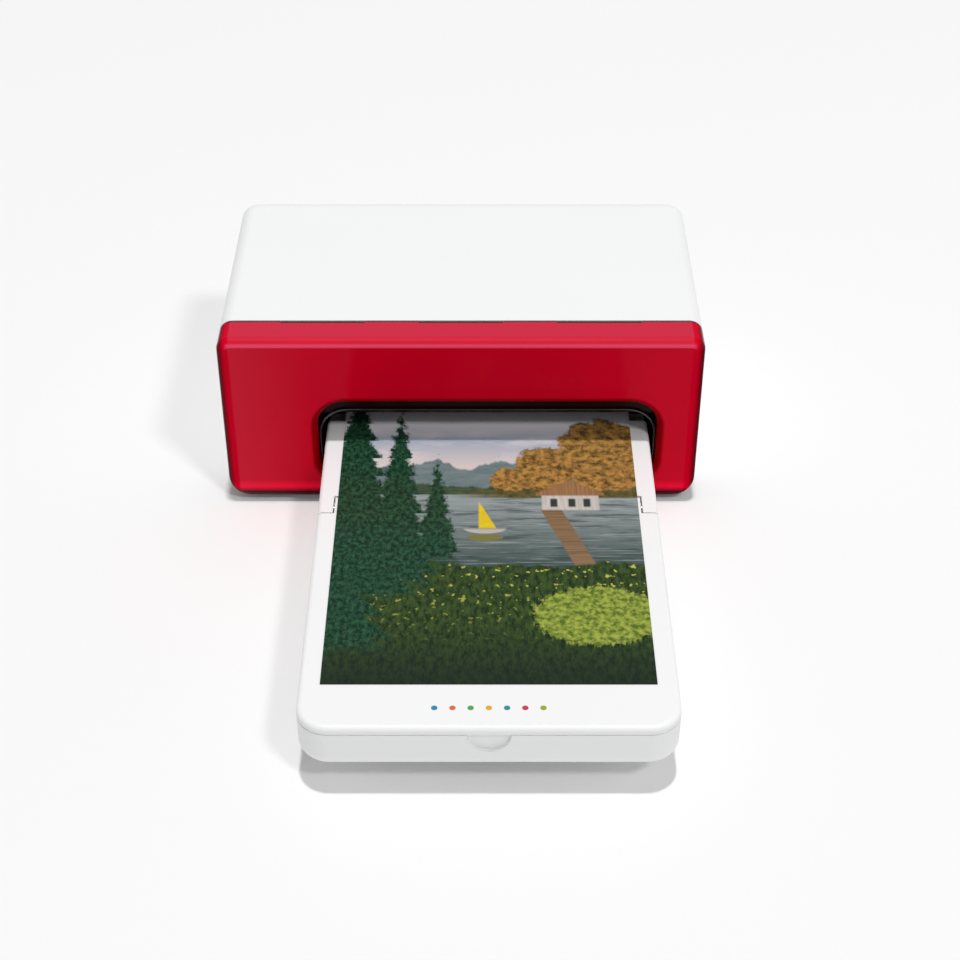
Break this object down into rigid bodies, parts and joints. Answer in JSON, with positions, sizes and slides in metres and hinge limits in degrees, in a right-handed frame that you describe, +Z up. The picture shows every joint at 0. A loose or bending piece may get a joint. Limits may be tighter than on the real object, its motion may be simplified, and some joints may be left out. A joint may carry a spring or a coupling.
{
  "type": "compact photo printer",
  "caption": "Compact dye-ribbon photo printer: white casing, glossy red bezel, slide-in paper tray with hinged lid, and a ribbon cartridge behind a side door.",
  "frame": {"origin": "on the table, under the middle of the whole printer with its tray", "axes": "+Z up, +Y towards the back of the body, -Y towards the front of the tray, +X to the right seen from the front"},
  "size_m": [0.168, 0.24, 0.0695],
  "materials": {
    "white_shell": "satin moulded",
    "red_bezel": "deep gloss",
    "black_plastic": "fine matt",
    "grey_plastic": "fine matt",
    "rubber": "matt",
    "steel": "brushed",
    "brass": "machined",
    "gear_plastic": "moulded",
    "board": "solder mask",
    "aluminium": "extruded",
    "light_pipe": "clear moulded",
    "ribbon": "glossy film",
    "paper": "coated",
    "print": "glossy photo paper"
  },
  "bodies": {
    "body": {"main_casing": "white_shell", "base_pan": "grey_plastic", "front_bezel": "red_bezel", "bezel_backing": "black_plastic", "throat_liner": "black_plastic", "rubber_feet": "rubber", "casing_screws": "steel", "left_chassis_plate": "steel", "right_chassis_plate": "steel", "rear_paper_guide": "black_plastic", "tray_guides": "black_plastic", "board_bracket": "steel", "main_board": "board", "power_board": "board", "power_inlet": "black_plastic", "usb_socket": "steel", "button_board": "board", "status_light": "light_pipe", "feed_motor": "steel", "motor_bracket": "steel", "roller_bushes": "gear_plastic", "gear_posts": "steel", "head_pivot_pin": "steel", "cartridge_rails": "black_plastic", "door_hinge_pin": "steel"},
    "tray": {"tray_base": "white_shell", "tray_rear_cover": "white_shell", "lid_hinge_pins": "steel", "lift_springs": "steel", "paper_stack": "paper", "photo_print": "print"},
    "lid": {"tray_lid": "white_shell"},
    "lift_plate": {"paper_lift_plate": "steel"},
    "side_door": {"cartridge_door": "white_shell"},
    "cartridge": {"cartridge_shell": "black_plastic", "ribbon_film": "ribbon"},
    "takeup_reel": {"takeup_spool": "grey_plastic"},
    "supply_reel": {"supply_spool": "ribbon"},
    "takeup_drive": {"takeup_hub": "gear_plastic"},
    "supply_drive": {"supply_hub": "gear_plastic"},
    "platen": {"platen_roller": "rubber", "platen_gear": "gear_plastic"},
    "grip": {"grip_roller": "steel", "grip_gear": "gear_plastic"},
    "pinch": {"pinch_roller": "rubber"},
    "pickup": {"pickup_roller": "rubber", "pickup_gear": "gear_plastic"},
    "exit": {"exit_roller": "rubber"},
    "exit_top": {"exit_wheels": "black_plastic"},
    "grip_link": {"grip_idler": "gear_plastic"},
    "pickup_link": {"pickup_idler": "gear_plastic"},
    "exit_link": {"exit_idler": "gear_plastic"},
    "lower_link": {"lower_spool_idler": "gear_plastic"},
    "upper_link": {"upper_spool_idler": "gear_plastic"},
    "pinion": {"motor_pinion": "brass"},
    "head": {"print_head": "aluminium", "head_arm": "steel"},
    "button": {"power_button": "white_shell"}
  },
  "joints": [
    {"name": "tray_slide", "type": "slide", "parent": "body", "child": "tray", "axis": [0, -1, 0], "range_m": [0, 0.042]},
    {"name": "lid_hinge", "type": "hinge", "parent": "tray", "child": "lid", "pos_m": [0.0092, -0.0155, 0.0257], "axis": [-1, 0, 0], "range_deg": [0, 100], "deforming": ["photo_print"]},
    {"name": "lift_plate_hinge", "type": "hinge", "parent": "tray", "child": "lift_plate", "pos_m": [0.0092, -0.005, 0.0152], "axis": [-1, 0, 0], "range_deg": [0, 1.8], "stiffness_Nm_per_rad": 2, "deforming": ["lift_springs"]},
    {"name": "side_door_hinge", "type": "hinge", "parent": "body", "child": "side_door", "pos_m": [0.0825, 0.081, 0.016], "axis": [0, 1, 0], "range_deg": [0, 95]},
    {"name": "cartridge_slide", "type": "slide", "parent": "body", "child": "cartridge", "axis": [1, 0, 0], "range_m": [0, 0.0135]},
    {"name": "head_pivot", "type": "hinge", "parent": "body", "child": "head", "pos_m": [0.0092, 0.108, 0.06], "axis": [-1, 0, 0], "range_deg": [0, 5]},
    {"name": "power_button_press", "type": "slide", "parent": "body", "child": "button", "axis": [0, -1, 0], "range_m": [0, 0.0008], "stiffness_N_per_m": 400},
    {"name": "platen_spin", "type": "hinge", "parent": "body", "child": "platen", "pos_m": [0.0092, 0.083, 0.025], "axis": [1, 0, 0], "continuous": true},
    {"name": "grip_spin", "type": "hinge", "parent": "body", "child": "grip", "pos_m": [0.0092, 0.07, 0.027], "axis": [1, 0, 0], "continuous": true},
    {"name": "pinch_spin", "type": "hinge", "parent": "body", "child": "pinch", "pos_m": [0.0092, 0.07, 0.0343], "axis": [1, 0, 0], "continuous": true},
    {"name": "pickup_spin", "type": "hinge", "parent": "body", "child": "pickup", "pos_m": [0.0092, 0.0567, 0.0253], "axis": [1, 0, 0], "continuous": true},
    {"name": "exit_spin", "type": "hinge", "parent": "body", "child": "exit", "pos_m": [0.0092, 0.044, 0.024], "axis": [1, 0, 0], "continuous": true},
    {"name": "exit_top_spin", "type": "hinge", "parent": "body", "child": "exit_top", "pos_m": [0.0092, 0.044, 0.0309], "axis": [1, 0, 0], "continuous": true},
    {"name": "grip_link_spin", "type": "hinge", "parent": "body", "child": "grip_link", "pos_m": [0.0092, 0.07422, 0.02021], "axis": [1, 0, 0], "continuous": true},
    {"name": "pickup_link_spin", "type": "hinge", "parent": "body", "child": "pickup_link", "pos_m": [0.0092, 0.06543, 0.02043], "axis": [1, 0, 0], "continuous": true},
    {"name": "exit_link_spin", "type": "hinge", "parent": "body", "child": "exit_link", "pos_m": [0.0092, 0.04892, 0.01902], "axis": [1, 0, 0], "continuous": true},
    {"name": "lower_link_spin", "type": "hinge", "parent": "body", "child": "lower_link", "pos_m": [0.0092, 0.07958, 0.0344], "axis": [1, 0, 0], "continuous": true},
    {"name": "upper_link_spin", "type": "hinge", "parent": "body", "child": "upper_link", "pos_m": [0.0092, 0.07281, 0.03866], "axis": [1, 0, 0], "continuous": true},
    {"name": "pinion_spin", "type": "hinge", "parent": "body", "child": "pinion", "pos_m": [0.0092, 0.09079, 0.0205], "axis": [1, 0, 0], "continuous": true},
    {"name": "takeup_drive_spin", "type": "hinge", "parent": "body", "child": "takeup_drive", "pos_m": [0.0092, 0.067, 0.048], "axis": [1, 0, 0], "continuous": true},
    {"name": "supply_drive_spin", "type": "hinge", "parent": "body", "child": "supply_drive", "pos_m": [0.0092, 0.099, 0.048], "axis": [1, 0, 0], "continuous": true},
    {"name": "takeup_reel_spin", "type": "hinge", "parent": "cartridge", "child": "takeup_reel", "pos_m": [0.0092, 0.067, 0.048], "axis": [1, 0, 0], "continuous": true},
    {"name": "supply_reel_spin", "type": "hinge", "parent": "cartridge", "child": "supply_reel", "pos_m": [0.0092, 0.099, 0.048], "axis": [1, 0, 0], "continuous": true}
  ],
  "couplings": [
    {"joint": "grip_spin", "follows": "platen_spin", "ratio": 1.5},
    {"joint": "pinch_spin", "follows": "platen_spin", "ratio": -2},
    {"joint": "pickup_spin", "follows": "platen_spin", "ratio": 1},
    {"joint": "exit_spin", "follows": "platen_spin", "ratio": 2},
    {"joint": "exit_top_spin", "follows": "platen_spin", "ratio": -2},
    {"joint": "grip_link_spin", "follows": "platen_spin", "ratio": -1.5},
    {"joint": "pickup_link_spin", "follows": "platen_spin", "ratio": -1.5},
    {"joint": "exit_link_spin", "follows": "platen_spin", "ratio": -1.5},
    {"joint": "lower_link_spin", "follows": "platen_spin", "ratio": -1.5},
    {"joint": "upper_link_spin", "follows": "platen_spin", "ratio": 1.5},
    {"joint": "pinion_spin", "follows": "platen_spin", "ratio": -2},
    {"joint": "takeup_drive_spin", "follows": "platen_spin", "ratio": -0.85714},
    {"joint": "takeup_reel_spin", "follows": "platen_spin", "ratio": -0.85714},
    {"joint": "supply_drive_spin", "follows": "platen_spin", "ratio": -0.49143},
    {"joint": "supply_reel_spin", "follows": "platen_spin", "ratio": -0.49143},
    {"joint": "cartridge_slide", "follows": "side_door_hinge", "m_per_rad": 0.0079611}
  ]
}
